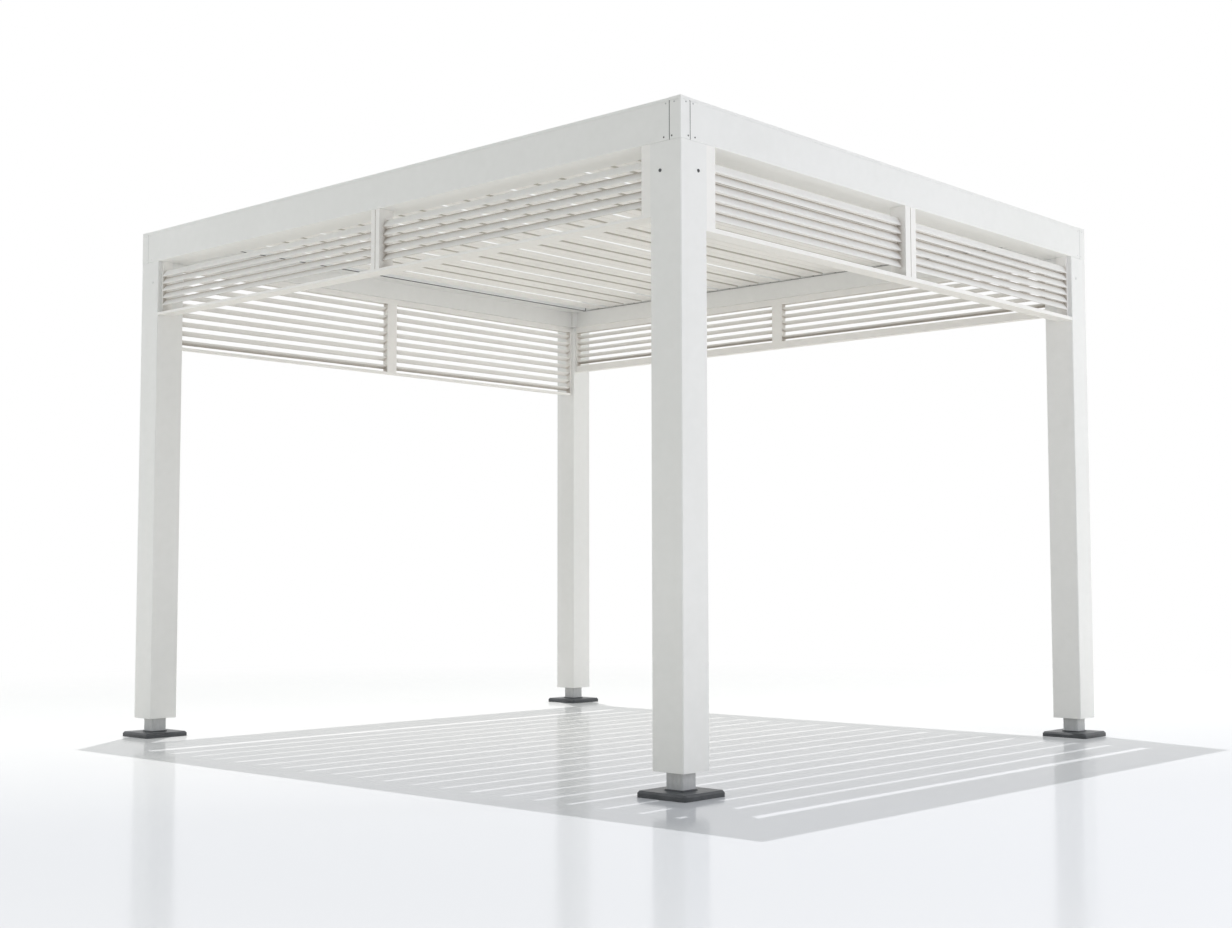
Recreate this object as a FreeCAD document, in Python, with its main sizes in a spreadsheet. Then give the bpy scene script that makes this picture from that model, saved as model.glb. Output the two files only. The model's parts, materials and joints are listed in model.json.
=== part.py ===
import FreeCAD, Part
import os

import Sketcher

# A free-standing pergola of powder-coated aluminium. Four square posts stand on steel feet and
# carry a ring of box beams. Louvred valance panels hang under each beam, between the posts, and
# a row of blades turns in the side beams to open or close the roof.
# The origin is on the ground at the middle of the plan. X runs along the front, Y to the back.

App = FreeCAD
doc = App.newDocument("pergola")

# Driving sizes, in millimetres and degrees. Depths run from an outer face into the pergola.
SIZES = {
    # The whole
    "width": 3120,
    "depth": 3530,
    "overall_height": 2500,
    # Posts and feet
    "post_side": 145,
    "post_corner_chamfer": 3,
    "post_head_chamfer": 2,
    "foot_height": 90,
    "plate_side": 228,
    "plate_thickness": 23,
    "plate_corner_radius": 14,
    "plate_bevel_width": 8,
    "stub_side": 78,
    "stub_corner_chamfer": 5,
    "stub_clearance": 0.25,
    "socket_depth": 120,
    # Ring of beams
    "beam_height": 155,
    "beam_edge_radius": 3,
    "cap_height": 12,
    "cap_groove_height": 2,
    "cap_groove_depth": 1.5,
    "corner_block_side": 52,
    "block_corner_chamfer": 1,
    "corner_reveal_width": 2,
    # What all valance panels share
    "slim_stile_width": 10,
    "mullion_groove_width": 3,
    "mullion_groove_depth": 3,
    "slat_thickness": 7,
    "slat_edge_thickness": 3,
    "slat_taper_length": 8,
    # The panels under the front and left beams, which stand at the outer face
    "front_panel_height": 318,
    "front_panel_setback_depth": 0,
    "front_panel_depth": 75,
    "front_rail_height": 17,
    "front_stile_width": 50,
    "front_mullion_width": 80,
    "front_mullion_offset": -44,
    "front_slat_count": 6,
    "front_slat_chord_length": 42,
    "front_slat_setback_depth": 22,
    "front_slat_tilt": 60,
    "front_slat_top_gap_height": 83,
    "front_slat_bottom_gap_height": 36,
    "left_panel_height": 270,
    "left_panel_setback_depth": 0,
    "left_panel_depth": 75,
    "left_rail_height": 12,
    "left_stile_width": 43,
    "left_mullion_width": 54,
    "left_mullion_offset": 61,
    "left_slat_count": 5,
    "left_slat_chord_length": 38,
    "left_slat_setback_depth": 22,
    "left_slat_tilt": 55,
    "left_slat_top_gap_height": 77,
    "left_slat_bottom_gap_height": 36,
    # The panels under the back and right beams, which stand near the inner face
    "back_panel_height": 427,
    "back_panel_setback_depth": 88,
    "back_panel_depth": 37,
    "back_head_height": 30,
    "back_rail_height": 12,
    "back_mullion_width": 66,
    "back_mullion_offset": 43,
    "back_slat_count": 8,
    "back_slat_chord_length": 33,
    "back_slat_setback_depth": 3,
    "back_slat_tilt": 35,
    "back_slat_top_gap_height": 70,
    "back_slat_bottom_gap_height": 18,
    "right_panel_height": 281,
    "right_panel_setback_depth": 88,
    "right_panel_depth": 37,
    "right_head_height": 34,
    "right_rail_height": 38,
    "right_mullion_width": 67,
    "right_mullion_offset": 47,
    "right_slat_count": 5,
    "right_slat_chord_length": 36,
    "right_slat_setback_depth": 2,
    "right_slat_tilt": 22,
    "right_slat_top_gap_height": 68,
    "right_slat_bottom_gap_height": 16,
    # Ledges along the front and back beams
    "ledge_depth": 105,
    "ledge_end_gap_width": 6,
    "ledge_rise_height": 92,
    "ledge_sheet_thickness": 4,
    "ledge_flange_height": 40,
    "ledge_lip_height": 22,
    # Roof blades
    "blade_count": 20,
    "blade_gap_width": 22,
    "blade_edge_thickness": 6,
    "blade_crown_height": 8,
    "blade_nose_chamfer": 2,
    "blade_groove_width": 6,
    "blade_groove_depth": 2.5,
    "blade_tilt": 2,
    "blade_end_gap_width": 6,
    "blade_axis_rise_height": 104,
    "row_end_gap_width": 35,
    "pin_radius": 5,
    "pin_clearance": 0.1,
    "pin_reach_length": 14,
    "bore_end_gap_depth": 2,
    "bore_side_count": 12,
}

# Sizes that follow from the driving ones.
FOLLOWING = {
    "beam_depth": "post_side",
    "beam_bottom": "overall_height - beam_height",
    "post_inset": "post_side / 2",
    "beam_start": "corner_block_side + corner_reveal_width",
    "groove_top": "beam_height - cap_height",
    "groove_bottom": "groove_top - cap_groove_height",
    "row_length": "depth - 2 * beam_depth - 2 * ledge_depth - 2 * row_end_gap_width",
    "blade_pitch": "row_length / blade_count",
    "blade_chord": "blade_pitch - blade_gap_width",
    "blade_length": "width - 2 * beam_depth - 2 * blade_end_gap_width",
    "crown_radius": "blade_chord * blade_chord / 8 / blade_crown_height + blade_crown_height / 2",
    "first_blade": "-(blade_count - 1) * blade_pitch / 2",
    "blade_axis_height": "beam_bottom + blade_axis_rise_height",
    "pins_length": "width - 2 * beam_depth + 2 * pin_reach_length",
    "bore_depth": "pin_reach_length + bore_end_gap_depth",
    "bore_corner_radius": "(pin_radius + pin_clearance) / cos(180 / bore_side_count)",
}

# How closely two places agree when an edge is picked by where it lies.
TOUCH = 1e-6

sheet = doc.addObject("Spreadsheet::Sheet", "dims")
contents = {alias: str(number) for alias, number in SIZES.items()}
contents.update({alias: "=" + formula for alias, formula in FOLLOWING.items()})
for row, (alias, content) in enumerate(contents.items(), start=1):
    sheet.set("A%d" % row, alias)
    sheet.set("B%d" % row, content)
    sheet.setAlias("B%d" % row, alias)
doc.recompute()


def value(expression):
    """The number that an expression on the sheet gives now."""
    return float(sheet.evalExpression(expression.replace("dims.", "")))


def start_body(name, base=("0", "0", "0"), turn=0):
    """A body with its own frame: base on the sheet's sizes, turned about Z."""
    body = doc.addObject("PartDesign::Body", name)
    body.Label = name
    body.Placement = App.Placement(App.Vector(0, 0, 0), App.Rotation(App.Vector(0, 0, 1), turn))
    for axis, expression in zip("xyz", base):
        body.setExpression("Placement.Base." + axis, expression)
    return body


def place_sketch(body, name, plane, offset=None):
    """An empty sketch on one of the body's own planes, lifted along the plane's normal."""
    sketch = body.newObject("Sketcher::SketchObject", name)
    support = [item for item in body.Origin.OriginFeatures if item.Role == plane + "_Plane"]
    sketch.AttachmentSupport = (support[0], [""])
    sketch.MapMode = "FlatFace"
    if offset is not None:
        sketch.setExpression("AttachmentOffset.Base.z", offset)
    return sketch


def bind(sketch, kind, place, expression):
    """A constraint on the sheet's sizes."""
    index = sketch.addConstraint(Sketcher.Constraint(kind, *place, value(expression)))
    sketch.setExpression("Constraints[%d]" % index, expression)


def outline(body, name, plane, corners, offset=None):
    """A closed outline of straight runs, each corner placed by two expressions."""
    sketch = place_sketch(body, name, plane, offset)
    points = [App.Vector(value(x), value(y), 0) for x, y in corners]
    total = len(points)
    for index in range(total):
        sketch.addGeometry(Part.LineSegment(points[index], points[(index + 1) % total]))
    for index, (x, y) in enumerate(corners):
        sketch.addConstraint(Sketcher.Constraint("Coincident", index, 2, (index + 1) % total, 1))
        bind(sketch, "DistanceX", (-1, 1, index, 1), x)
        bind(sketch, "DistanceY", (-1, 1, index, 1), y)
    return sketch


def box_corners(x_low, y_low, x_high, y_high):
    """The four corners of an upright rectangle."""
    return [(x_low, y_low), (x_high, y_low), (x_high, y_high), (x_low, y_high)]


def circle(body, name, plane, centre, radius, offset=None):
    """One circle, placed and sized by expressions."""
    sketch = place_sketch(body, name, plane, offset)
    middle = App.Vector(value(centre[0]), value(centre[1]), 0)
    sketch.addGeometry(Part.Circle(middle, App.Vector(0, 0, 1), value(radius)))
    bind(sketch, "DistanceX", (-1, 1, 0, 3), centre[0])
    bind(sketch, "DistanceY", (-1, 1, 0, 3), centre[1])
    bind(sketch, "Radius", (0,), radius)
    return sketch


def extrude(body, kind, sketch, length=None, middle=False, reverse=False, through=False):
    """A Pad or a Pocket of a sketch."""
    feature = body.newObject("PartDesign::" + kind, sketch.Name + "_" + kind.lower())
    feature.Profile = sketch
    feature.Midplane = middle
    feature.Reversed = reverse
    if through:
        feature.Type = "ThroughAll"
    else:
        feature.setExpression("Length", length)
    sketch.Visibility = False
    doc.recompute()
    return feature


def soften(body, kind, base, size, wanted):
    """A Fillet or Chamfer on the edges of a feature that pass the test."""
    names = ["Edge%d" % (index + 1) for index, edge in enumerate(base.Shape.Edges) if wanted(edge)]
    feature = body.newObject("PartDesign::" + kind, base.Name + "_" + kind.lower())
    feature.Base = (base, names)
    feature.setExpression("Radius" if kind == "Fillet" else "Size", size)
    doc.recompute()
    return feature


def is_upright(edge):
    """True for an edge that runs along Z."""
    low, high = edge.Vertexes[0].Point, edge.Vertexes[-1].Point
    return abs(low.x - high.x) < TOUCH and abs(low.y - high.y) < TOUCH


def lies_at(edge, axis, place):
    """True for an edge that lies all at one place on an axis."""
    low = getattr(edge.BoundBox, axis + "Min")
    high = getattr(edge.BoundBox, axis + "Max")
    return abs(low - place) < TOUCH and abs(high - place) < TOUCH


# The posts stand at the four corners. Each has a base plate, a stub and a corner block.
CORNERS = {
    "front_left": ("-", "-"),
    "front_right": ("", "-"),
    "back_right": ("", ""),
    "back_left": ("-", ""),
}


def inset_from_corner(corner, inset):
    """The X and Y of a point set in from both outer faces at a corner."""
    sign_x, sign_y = CORNERS[corner]
    return sign_x + "(dims.width / 2 - %s)" % inset, sign_y + "(dims.depth / 2 - %s)" % inset


def centred_square(side):
    """Corners of a square about the origin."""
    return box_corners("-%s / 2" % side, "-%s / 2" % side, "%s / 2" % side, "%s / 2" % side)


def make_base_plate(corner):
    """A square plate with rounded corners and a soft bevel round its top."""
    body = start_body("base_plate_" + corner, (*inset_from_corner(corner, "dims.post_inset"), "0"))
    plan = outline(body, body.Name + "_plan", "XY", centred_square("dims.plate_side"))
    solid = extrude(body, "Pad", plan, "dims.plate_thickness")
    solid = soften(body, "Fillet", solid, "dims.plate_corner_radius", is_upright)
    top = value("dims.plate_thickness")
    soften(body, "Chamfer", solid, "dims.plate_bevel_width", lambda edge: lies_at(edge, "Z", top))
    return body


def make_foot_stub(corner):
    """A square steel stub from the plate up into the post's socket."""
    place = (*inset_from_corner(corner, "dims.post_inset"), "dims.plate_thickness")
    body = start_body("foot_stub_" + corner, place)
    section = outline(body, body.Name + "_section", "XY", centred_square("dims.stub_side"))
    length = "dims.foot_height + dims.socket_depth - dims.plate_thickness"
    solid = extrude(body, "Pad", section, length)
    soften(body, "Chamfer", solid, "dims.stub_corner_chamfer", is_upright)
    return body


def make_post(corner):
    """A square post with a socket for the stub and a small chamfer round its head."""
    place = (*inset_from_corner(corner, "dims.post_inset"), "dims.foot_height")
    body = start_body("post_" + corner, place)
    length = "dims.beam_bottom - dims.foot_height"
    section = outline(body, body.Name + "_section", "XY", centred_square("dims.post_side"))
    solid = extrude(body, "Pad", section, length)
    solid = soften(body, "Chamfer", solid, "dims.post_corner_chamfer", is_upright)
    top = value(length)
    soften(body, "Chamfer", solid, "dims.post_head_chamfer", lambda edge: lies_at(edge, "Z", top))
    opening = centred_square("(dims.stub_side + 2 * dims.stub_clearance)")
    socket = outline(body, body.Name + "_socket", "XY", opening)
    extrude(body, "Pocket", socket, "dims.socket_depth", reverse=True)
    return body


def make_corner_block(corner):
    """The block that closes the ring of beams above a post; its cap covers the reveals beside it."""
    place = (*inset_from_corner(corner, "dims.corner_block_side / 2"), "dims.beam_bottom")
    body = start_body("corner_block_" + corner, place)
    sign_x, sign_y = CORNERS[corner]
    full = centred_square("dims.corner_block_side")
    neck = centred_square("(dims.corner_block_side - 2 * dims.cap_groove_depth)")
    reach = "(dims.corner_block_side / 2 + dims.corner_reveal_width)"
    half = "dims.corner_block_side / 2"
    x_low, x_high = ("-" + half, reach) if sign_x else ("-" + reach, half)
    y_low, y_high = ("-" + half, reach) if sign_y else ("-" + reach, half)
    cap = box_corners(x_low, y_low, x_high, y_high)
    layers = [("main", full, None, "dims.groove_bottom"),
              ("neck", neck, "dims.groove_bottom", "dims.cap_groove_height"),
              ("cap", cap, "dims.groove_top", "dims.cap_height")]
    for name, corners, base, height in layers:
        section = outline(body, body.Name + "_" + name, "XY", corners, base)
        solid = extrude(body, "Pad", section, height)
    outer_x = value(sign_x + "dims.corner_block_side / 2")
    outer_y = value(sign_y + "dims.corner_block_side / 2")
    soften(body, "Chamfer", solid, "dims.block_corner_chamfer",
           lambda edge: lies_at(edge, "X", outer_x) and lies_at(edge, "Y", outer_y))
    return body


# Each side of the ring: its length, its place and its turn. The local X runs along the side, and
# the local Y points from the outer face into the pergola.
SIDES = {
    "front": ("dims.width", ("0", "-dims.depth / 2"), 0),
    "right": ("dims.depth", ("dims.width / 2", "0"), 90),
    "back": ("dims.width", ("0", "dims.depth / 2"), 180),
    "left": ("dims.depth", ("-dims.width / 2", "0"), -90),
}


def make_beam(side):
    """A box beam mitred behind the corner blocks, with a cap groove along its outer face."""
    length, place, turn = SIDES[side]
    body = start_body("beam_" + side, (*place, "dims.beam_bottom"), turn)
    outer_end = "(%s / 2 - dims.beam_start)" % length
    inner_end = "(%s / 2 - dims.beam_depth)" % length
    corners = [("-" + outer_end, "0"), (outer_end, "0"), (outer_end, "dims.beam_start"),
               (inner_end, "dims.beam_depth"), ("-" + inner_end, "dims.beam_depth"),
               ("-" + outer_end, "dims.beam_start")]
    plan = outline(body, body.Name + "_plan", "XY", corners)
    solid = extrude(body, "Pad", plan, "dims.beam_height")
    outer_length = 2 * value(outer_end)
    soften(body, "Fillet", solid, "dims.beam_edge_radius",
           lambda edge: lies_at(edge, "Y", 0) and abs(edge.Length - outer_length) < TOUCH)
    corners = box_corners("0", "dims.groove_bottom", "dims.cap_groove_depth", "dims.groove_top")
    groove = outline(body, body.Name + "_groove", "YZ", corners)
    extrude(body, "Pocket", groove, middle=True, through=True)
    if side in ("left", "right"):
        cut_pin_bores(body, side)
    return body


def cut_pin_bores(body, side):
    """The row of blind bores in a side beam's inner face, one for the pin of each blade."""
    # The bores are many-sided and not round, which keeps the faces of the long row few.
    first = "-dims.first_blade" if side == "left" else "dims.first_blade"
    total = int(value("dims.bore_side_count"))
    corners = []
    for index in range(total):
        angle = "(%d * 360 / dims.bore_side_count)" % index
        corners.append(("%s + dims.bore_corner_radius * cos(%s)" % (first, angle),
                        "dims.blade_axis_rise_height + dims.bore_corner_radius * sin(%s)" % angle))
    bore = outline(body, body.Name + "_bore", "XZ", corners, "-dims.beam_depth")
    pocket = extrude(body, "Pocket", bore, "dims.bore_depth", reverse=True)
    row = body.newObject("PartDesign::LinearPattern", body.Name + "_bores")
    row.Originals = [pocket]
    row.Direction = (bore, ["H_Axis"])
    row.Reversed = side == "left"
    row.setExpression("Length", "dims.blade_pitch * (dims.blade_count - 1)")
    row.setExpression("Occurrences", "dims.blade_count")
    body.Tip = row
    doc.recompute()


def slat_section(side):
    """The top slat's section: a thin blade, tapered to both edges, that slopes down outwards."""
    chord, tilt = "dims.%s_slat_chord_length" % side, "dims.%s_slat_tilt" % side
    taper = "dims.slat_taper_length"
    setback = "dims.%s_panel_setback_depth + dims.%s_slat_setback_depth" % (side, side)
    top_gap = "dims.%s_slat_top_gap_height" % side
    half, edge = "dims.slat_thickness / 2", "dims.slat_edge_thickness / 2"
    stations = [("0", "-" + edge), (taper, "-" + half), (chord + " - " + taper, "-" + half),
                (chord, "-" + edge), (chord, edge), (chord + " - " + taper, half), (taper, half),
                ("0", edge)]
    corners = []
    for run, rise in stations:
        across = "(%s) * cos(%s) - (%s) * sin(%s)" % (run, tilt, rise, tilt)
        upward = "(%s) * sin(%s) + (%s) * cos(%s)" % (run, tilt, rise, tilt)
        corners.append(("%s + %s" % (setback, across), "%s - %s" % (upward, top_gap)))
    return corners


def make_valance(side, wide_end):
    """A louvred panel under a beam: bottom rail, stiles, a grooved mullion and sloping slats."""
    # The back and right panels stand free of the beam's outer edge, so they have a head rail too.
    length, place, turn = SIDES[side]
    height = "dims.%s_panel_height" % side
    rail_height = "dims.%s_rail_height" % side
    front = "dims.%s_panel_setback_depth" % side
    back = "(%s + dims.%s_panel_depth)" % (front, side)
    count = "dims.%s_slat_count" % side
    body = start_body("valance_" + side, (*place, "dims.beam_bottom"), turn)
    end = "(%s / 2 - dims.post_side)" % length
    rail_top = "(%s - %s)" % (rail_height, height)
    above_rail = "%s - %s" % (height, rail_height)

    rail = outline(body, body.Name + "_rail", "YZ", box_corners(front, "-" + height, back, rail_top))
    extrude(body, "Pad", rail, "2 * " + end, middle=True)
    if side in ("back", "right"):
        head_bottom = "-dims.%s_head_height" % side
        head = outline(body, body.Name + "_head", "YZ", box_corners(front, head_bottom, back, "0"))
        extrude(body, "Pad", head, "2 * " + end, middle=True)

    for sign, name in ((-1, "low_stile"), (1, "high_stile")):
        wide = sign == wide_end
        width = "dims.%s_stile_width" % (side if wide else "slim")
        low, high = ("(%s - %s)" % (end, width), end) if sign > 0 else ("-" + end, "(%s - %s)" % (width, end))
        face = front if wide else "(%s + dims.%s_slat_setback_depth)" % (front, side)
        corners = box_corners(low, face, high, back)
        stile = outline(body, body.Name + "_" + name, "XY", corners, rail_top)
        extrude(body, "Pad", stile, above_rail)

    middle = "dims.%s_mullion_offset" % side
    stations = [("-dims.%s_mullion_width / 2" % side, front), ("-dims.mullion_groove_width / 2", front),
                ("-dims.mullion_groove_width / 2", front + " + dims.mullion_groove_depth"),
                ("dims.mullion_groove_width / 2", front + " + dims.mullion_groove_depth"),
                ("dims.mullion_groove_width / 2", front), ("dims.%s_mullion_width / 2" % side, front),
                ("dims.%s_mullion_width / 2" % side, back), ("-dims.%s_mullion_width / 2" % side, back)]
    corners = [("%s + %s" % (middle, along), across) for along, across in stations]
    mullion = outline(body, body.Name + "_mullion", "XY", corners, rail_top)
    extrude(body, "Pad", mullion, above_rail)

    section = outline(body, body.Name + "_slat", "YZ", slat_section(side))
    between_stiles = "2 * (%s - dims.slim_stile_width)" % end
    slat = extrude(body, "Pad", section, between_stiles, middle=True)
    slats = body.newObject("PartDesign::LinearPattern", body.Name + "_slats")
    slats.Originals = [slat]
    slats.Direction = (section, ["V_Axis"])
    slats.Reversed = True
    gaps = "dims.%s_slat_top_gap_height - dims.%s_slat_bottom_gap_height" % (side, side)
    slats.setExpression("Length", "%s - %s" % (above_rail, gaps))
    slats.setExpression("Occurrences", count)
    body.Tip = slats
    doc.recompute()
    return body


def make_ledge(side):
    """The folded sheet along the inside of a beam that the row of blades ends against."""
    length, place, turn = SIDES[side]
    body = start_body("ledge_" + side, (*place, "dims.beam_bottom + dims.ledge_rise_height"), turn)
    wall, edge = "dims.beam_depth", "(dims.beam_depth + dims.ledge_depth)"
    thin = "dims.ledge_sheet_thickness"
    lip_back = "%s - %s" % (edge, thin)
    flange_front = "%s + %s" % (wall, thin)
    corners = [(wall, "0"), (edge, "0"), (edge, "dims.ledge_lip_height"),
               (lip_back, "dims.ledge_lip_height"), (lip_back, thin), (flange_front, thin),
               (flange_front, "dims.ledge_flange_height"), (wall, "dims.ledge_flange_height")]
    section = outline(body, body.Name + "_section", "YZ", corners)
    clear = "%s - 2 * dims.beam_depth - 2 * dims.ledge_end_gap_width" % length
    extrude(body, "Pad", section, clear, middle=True)
    return body


def blade_section(body):
    """A blade's section about its pin: flat and grooved below, crowned by one arc above."""
    half, nose, edge = "dims.blade_chord / 2", "dims.blade_nose_chamfer", "dims.blade_edge_thickness"
    bottom = "-(%s + dims.blade_crown_height) / 2" % edge
    half_groove = "dims.blade_groove_width / 2"
    corners = [("-" + half, "%s + %s" % (bottom, edge)), ("-" + half, "%s + %s" % (bottom, nose)),
               ("-%s + %s" % (half, nose), bottom), ("-" + half_groove, bottom),
               ("0", "%s + dims.blade_groove_depth" % bottom), (half_groove, bottom),
               ("%s - %s" % (half, nose), bottom), (half, "%s + %s" % (bottom, nose)),
               (half, "%s + %s" % (bottom, edge))]
    sketch = place_sketch(body, body.Name + "_section", "YZ")
    points = [App.Vector(value(x), value(y), 0) for x, y in corners]
    for low, high in zip(points, points[1:]):
        sketch.addGeometry(Part.LineSegment(low, high))
    crown_top = App.Vector(0, points[0].y + value("dims.blade_crown_height"), 0)
    arc = sketch.addGeometry(Part.Arc(points[-1], crown_top, points[0]))
    for index, (x, y) in enumerate(corners[:-1]):
        bind(sketch, "DistanceX", (-1, 1, index, 1), x)
        bind(sketch, "DistanceY", (-1, 1, index, 1), y)
    last = arc - 1
    bind(sketch, "DistanceX", (-1, 1, last, 2), corners[-1][0])
    bind(sketch, "DistanceY", (-1, 1, last, 2), corners[-1][1])
    for index in range(last):
        sketch.addConstraint(Sketcher.Constraint("Coincident", index, 2, index + 1, 1))
    sketch.addConstraint(Sketcher.Constraint("Coincident", last, 2, arc, 1))
    sketch.addConstraint(Sketcher.Constraint("Coincident", arc, 2, 0, 1))
    bind(sketch, "Radius", (arc,), "dims.crown_radius")
    return sketch


def make_blade(index):
    """A roof blade, tilted about the pins at its two ends."""
    place = ("0", "dims.first_blade + %d * dims.blade_pitch" % index, "dims.blade_axis_height")
    body = start_body("roof_blade_%02d" % (index + 1), place)
    body.Placement = App.Placement(body.Placement.Base, App.Rotation(App.Vector(1, 0, 0), 1))
    body.setExpression("Placement.Rotation.Angle", "dims.blade_tilt")
    extrude(body, "Pad", blade_section(body), "dims.blade_length", middle=True)
    pins = circle(body, body.Name + "_pins", "YZ", ("0", "0"), "dims.pin_radius")
    extrude(body, "Pad", pins, "dims.pins_length", middle=True)
    return body


pieces = []
for corner in CORNERS:
    pieces.append(make_base_plate(corner))
    pieces.append(make_foot_stub(corner))
    pieces.append(make_post(corner))
    pieces.append(make_corner_block(corner))
# The panels beside the front left post have a wide stile there, flush with the post.
for side, wide_end in (("front", -1), ("right", 0), ("back", 0), ("left", 1)):
    pieces.append(make_beam(side))
    pieces.append(make_valance(side, wide_end))
for side in ("front", "back"):
    pieces.append(make_ledge(side))
for index in range(int(value("dims.blade_count"))):
    pieces.append(make_blade(index))

doc.recompute()
for item in doc.Objects:
    if "Invalid" in item.State or "Error" in item.State:
        raise RuntimeError("%s did not recompute: %s" % (item.Name, item.State))
for piece in pieces:
    if piece.Shape.isNull() or not piece.Shape.isValid():
        raise RuntimeError("%s has no valid shape" % piece.Label)

os.makedirs("parts", exist_ok=True)
for piece in pieces:
    piece.Shape.exportStep("parts/%s.step" % piece.Label)
    print("%-28s %10.0f mm3" % (piece.Label, piece.Shape.Volume))
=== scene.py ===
# %% [markdown]
# A white louvered pergola: four square posts on steel feet, a ring of box beams, a louvred panel
# under each beam and a roof of twenty turning blades.
# The solid model already holds every form at its real size, so this lesson starts by loading it and
# leaves each solid where it is. What is missing is what the eye reads as "real": the coats and bare
# metals, the screws, caps, bushes and beads that fitters add, the light and the camera.
# Lengths are in metres. X runs along the front, Y to the back and Z up from the ground.

# %% Load the solid model
import json
import math

import bpy
from mathutils import Matrix, Vector


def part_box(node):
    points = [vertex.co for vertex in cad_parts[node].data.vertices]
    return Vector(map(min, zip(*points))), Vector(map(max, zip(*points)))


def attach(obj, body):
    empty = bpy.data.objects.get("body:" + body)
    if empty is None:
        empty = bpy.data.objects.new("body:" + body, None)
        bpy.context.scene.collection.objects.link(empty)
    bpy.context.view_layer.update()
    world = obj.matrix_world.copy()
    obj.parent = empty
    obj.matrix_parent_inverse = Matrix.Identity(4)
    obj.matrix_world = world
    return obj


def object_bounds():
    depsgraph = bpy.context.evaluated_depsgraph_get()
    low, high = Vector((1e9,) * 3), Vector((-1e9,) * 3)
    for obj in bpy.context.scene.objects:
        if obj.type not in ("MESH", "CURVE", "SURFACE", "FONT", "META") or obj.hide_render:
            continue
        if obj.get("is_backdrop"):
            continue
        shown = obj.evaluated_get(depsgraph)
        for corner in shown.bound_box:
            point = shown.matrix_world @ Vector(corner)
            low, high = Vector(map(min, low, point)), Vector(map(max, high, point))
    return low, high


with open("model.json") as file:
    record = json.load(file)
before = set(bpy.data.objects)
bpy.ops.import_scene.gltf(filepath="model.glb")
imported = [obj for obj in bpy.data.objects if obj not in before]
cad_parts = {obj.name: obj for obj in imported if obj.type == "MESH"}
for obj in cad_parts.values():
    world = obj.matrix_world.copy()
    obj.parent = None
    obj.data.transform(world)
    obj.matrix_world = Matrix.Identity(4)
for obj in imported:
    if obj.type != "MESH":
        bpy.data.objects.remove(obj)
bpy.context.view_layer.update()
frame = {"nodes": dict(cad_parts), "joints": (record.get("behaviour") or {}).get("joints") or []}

# %% [markdown]
# The camera stands low, about 0.8 m above the ground, outside the front left post, and looks up a
# little, which makes the roof's underside show.
# Its place came from lining up the posts, the ring of beams and the feet with the photograph.
# A camera looks along its own -Z, so it is turned up from straight down, then round to its heading.

# %% Camera
CAMERA_PLACE = (-5.978, -5.476, 0.774)
CAMERA_HEADING = math.radians(42.345)
CAMERA_RISE = math.radians(3.959)
CAMERA_ROLL = math.radians(0.091)
CAMERA_LENS = 47.91
SENSOR_WIDTH = 36.0

camera = bpy.data.objects.new("camera", bpy.data.cameras.new("camera"))
bpy.context.scene.collection.objects.link(camera)
camera.data.sensor_width = SENSOR_WIDTH
camera.data.lens = CAMERA_LENS
camera.data.clip_end = 200
turned = (Matrix.Rotation(CAMERA_HEADING - math.pi / 2, 4, "Z")
          @ Matrix.Rotation(math.pi / 2 + CAMERA_RISE, 4, "X")
          @ Matrix.Rotation(-CAMERA_ROLL, 4, "Z"))
camera.matrix_world = Matrix.Translation(CAMERA_PLACE) @ turned
bpy.context.scene.camera = camera
print("camera at", CAMERA_PLACE)

# %% [markdown]
# Shader maths is easier to read as Python than as a row of nodes. A Wire wraps one output and
# overloads + - * and /, so that `1 - mask` adds the Math node that it needs. A Finish is one
# material in the making: its node() method makes any node, and its put() feeds the surface shader.

# %% Shader helpers
class Wire:
    """One output of a node, with arithmetic."""

    def __init__(self, finish, socket):
        self.finish = finish
        self.socket = socket

    def math(self, operation, first, second=None, clamp=False):
        """A Math node on one or two values."""
        inputs = {0: first} if second is None else {0: first, 1: second}
        return self.finish.node("ShaderNodeMath", {"operation": operation, "use_clamp": clamp}, inputs)

    def __add__(self, other):
        return self.math("ADD", self, other)

    def __sub__(self, other):
        return self.math("SUBTRACT", self, other)

    def __mul__(self, other):
        return self.math("MULTIPLY", self, other)

    def __truediv__(self, other):
        return self.math("DIVIDE", self, other)

    def __rsub__(self, other):
        return self.math("SUBTRACT", other, self)

    def __rtruediv__(self, other):
        return self.math("DIVIDE", other, self)

    __radd__ = __add__
    __rmul__ = __mul__

    def clamped(self):
        """The same value, held between 0 and 1."""
        return self.math("ADD", self, 0.0, clamp=True)

    def ramp(self, low, high):
        """0 below low, 1 above high and a smooth rise between them."""
        settings = {"interpolation_type": "SMOOTHSTEP"}
        return self.finish.node("ShaderNodeMapRange", settings, {0: self, 1: low, 2: high})


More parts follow.
